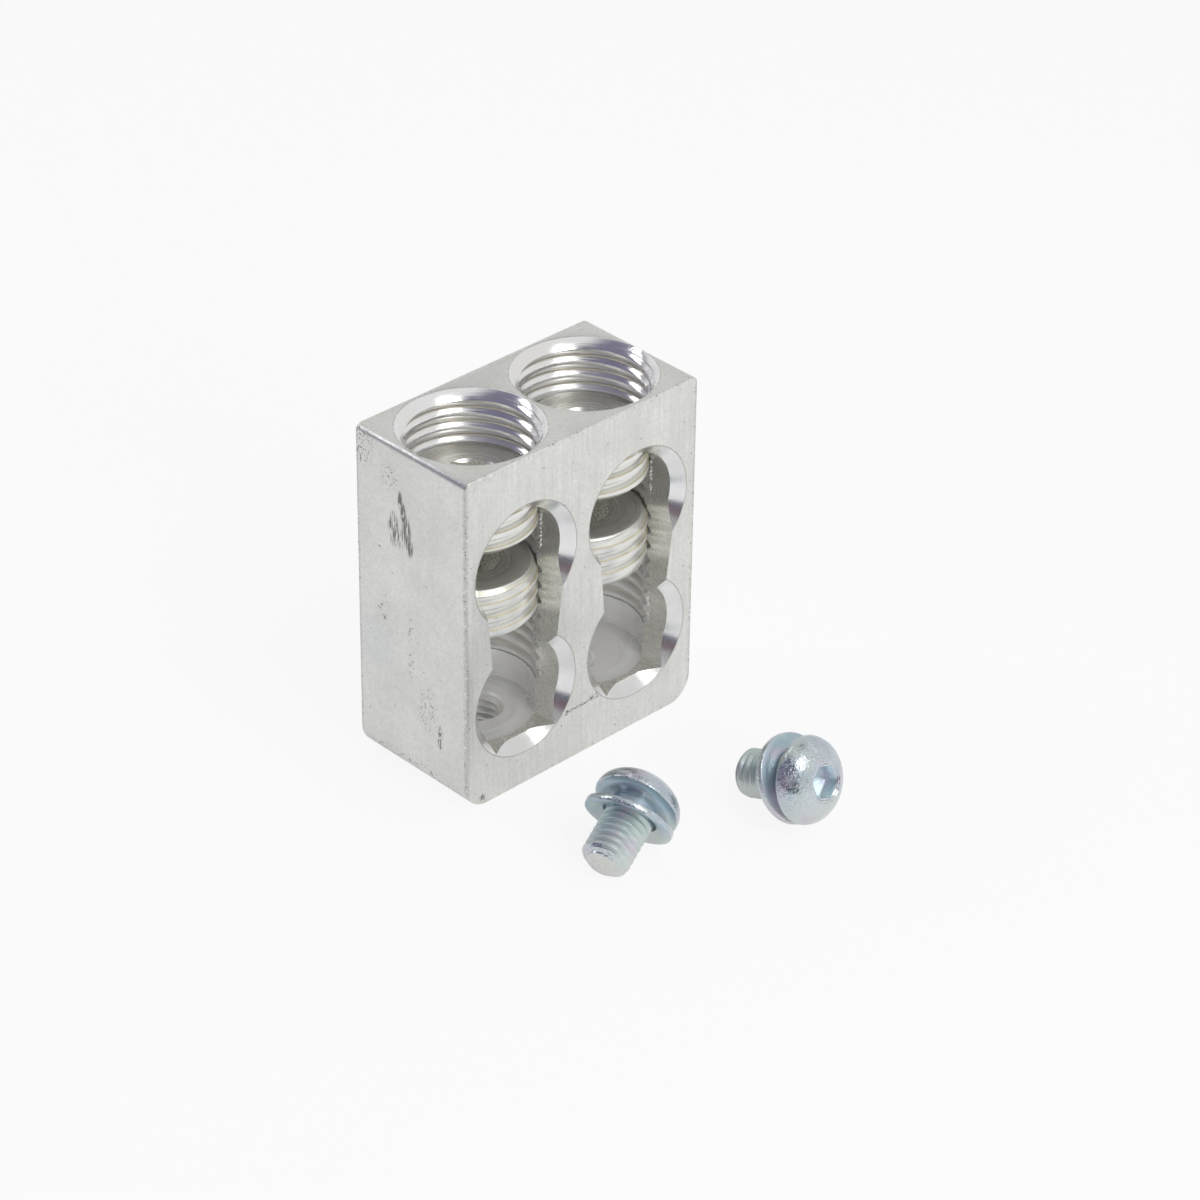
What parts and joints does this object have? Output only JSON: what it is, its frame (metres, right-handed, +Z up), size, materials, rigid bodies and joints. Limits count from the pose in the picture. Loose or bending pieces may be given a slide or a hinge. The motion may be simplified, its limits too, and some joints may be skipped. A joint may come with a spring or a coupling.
{
  "type": "mechanical lug",
  "caption": "Metal block lug with side-by-side wire ports, stacked hexagon-socket set screws in threaded bores, and loose domed mounting screws with conical washers.",
  "frame": {"origin": "centre of the block's base, on the surface it rests on", "axes": "+X to the right seen from the ports, +Y from the ports to the back of the block, +Z up along the screw bores"},
  "size_m": [0.049, 0.0667, 0.06],
  "materials": {
    "plated_block": "matte tin plate, finely brushed",
    "plated_set_screw": "turned, tin plated",
    "zinc_screw": "bright blue-white zinc plate",
    "zinc_washer": "bright blue-white zinc plate"
  },
  "bodies": {
    "lug": {"lug_block": "plated_block", "mounting_screw_left": "zinc_screw", "mounting_screw_right": "zinc_screw", "conical_washer_left": "zinc_washer", "conical_washer_right": "zinc_washer"},
    "upper_left": {"upper_set_screw_left": "plated_set_screw"},
    "upper_right": {"upper_set_screw_right": "plated_set_screw"},
    "lower_left": {"lower_set_screw_left": "plated_set_screw"},
    "lower_right": {"lower_set_screw_right": "plated_set_screw"}
  },
  "joints": [
    {"name": "upper_left_travel", "type": "slide", "parent": "lug", "child": "upper_left", "axis": [0, 0, 1], "range_m": [-0.0025, 0.0075]},
    {"name": "upper_right_travel", "type": "slide", "parent": "lug", "child": "upper_right", "axis": [0, 0, 1], "range_m": [-0.0025, 0.0075]},
    {"name": "lower_left_travel", "type": "slide", "parent": "lug", "child": "lower_left", "axis": [0, 0, 1], "range_m": [-0.0125, 0.0025]},
    {"name": "lower_right_travel", "type": "slide", "parent": "lug", "child": "lower_right", "axis": [0, 0, 1], "range_m": [-0.0125, 0.0025]}
  ]
}
